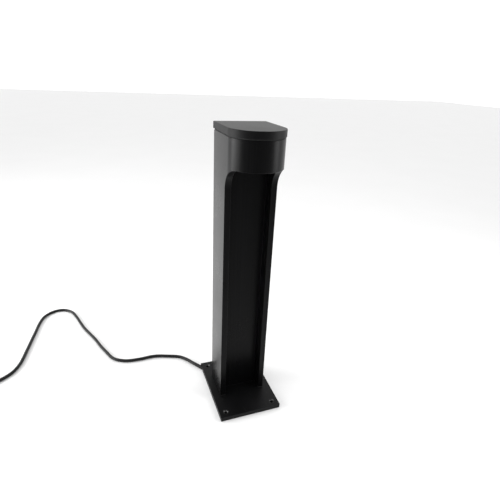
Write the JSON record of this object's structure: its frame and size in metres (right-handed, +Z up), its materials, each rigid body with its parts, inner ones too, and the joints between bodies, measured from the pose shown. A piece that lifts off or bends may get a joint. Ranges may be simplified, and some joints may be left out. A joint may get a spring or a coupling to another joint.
{
  "type": "bollard light",
  "caption": "Short upright bollard light with a flat back and a half-round front cut away below its head, so that a shielded lamp shines down a recess, on a base plate with its supply cable",
  "frame": {"origin": "centre of the underside of the base plate, on the ground", "axes": "+Z up along the column; the recess and the half-round front face -Y; +X is to the right seen from the front; the cable leaves to the left and rear"},
  "size_m": [0.7314, 0.5507, 0.6],
  "materials": {
    "plate_paint": "satin black powder coat on cast aluminium",
    "column_paint": "fine satin dark graphite powder coat on extruded aluminium",
    "cap_paint": "fine satin dark graphite powder coat on cast aluminium",
    "seal_rubber": "matte black",
    "cable_rubber": "matte black",
    "lamp_seal": "matte translucent silicone",
    "steel_screw": "bare stainless",
    "sink_metal": "bare, lightly oxidised",
    "board_white": "white solder mask",
    "emitter": "yellow phosphor",
    "reflector_white": "white",
    "lens_glass": "frosted",
    "frame_plastic": "black",
    "tray_metal": "galvanised sheet",
    "driver_plastic": "white",
    "driver_green": "green laminate",
    "transformer_tape": "yellow tape",
    "capacitor_sleeve": "dark blue",
    "terminal_plastic": "cream",
    "terminal_brass": "bright",
    "clamp_plastic": "black",
    "core_brown": "brown insulation",
    "core_blue": "blue insulation",
    "core_green": "green and yellow insulation",
    "lead_red": "red insulation",
    "lead_black": "black insulation",
    "tinned_copper": "tinned",
    "tie_band": "black"
  },
  "bodies": {
    "root": {"base_plate": "plate_paint", "foot_seal": "seal_rubber", "column": "column_paint", "top_cap": "cap_paint", "cap_seal": "seal_rubber", "cap_grub_screws": "steel_screw", "column_screws": "steel_screw", "heat_sink": "sink_metal", "heat_sink_screws": "steel_screw", "led_board": "board_white", "led_emitters": "emitter", "board_screws": "steel_screw", "reflector": "reflector_white", "lens": "lens_glass", "lens_seal": "lamp_seal", "lens_frame": "frame_plastic", "lens_frame_screws": "steel_screw", "panel_grommet": "seal_rubber", "gear_tray": "tray_metal", "gear_tray_screws": "steel_screw", "driver_case": "driver_plastic", "driver_cover": "driver_plastic", "driver_board": "driver_green", "driver_transformer": "transformer_tape", "driver_capacitors": "capacitor_sleeve", "driver_screws": "steel_screw", "terminal_block": "terminal_plastic", "terminal_screws": "terminal_brass", "cable_clamp_block": "clamp_plastic", "cable_clamp_strap": "clamp_plastic", "cable_clamp_screws": "steel_screw", "inner_cable": "cable_rubber", "live_core": "core_brown", "neutral_core": "core_blue", "earth_core": "core_green", "earth_lug": "tinned_copper", "earth_screw": "terminal_brass", "driver_live_lead": "core_brown", "driver_neutral_lead": "core_blue", "lamp_positive_lead": "lead_red", "lamp_negative_lead": "lead_black", "cable_sleeve": "seal_rubber", "supply_cord": "cable_rubber", "cord_coil": "cable_rubber", "cord_tail": "cable_rubber", "cord_ties": "tie_band", "end_live_core": "core_brown", "end_neutral_core": "core_blue", "end_earth_core": "core_green", "core_ferrules": "tinned_copper"}
  },
  "joints": []
}
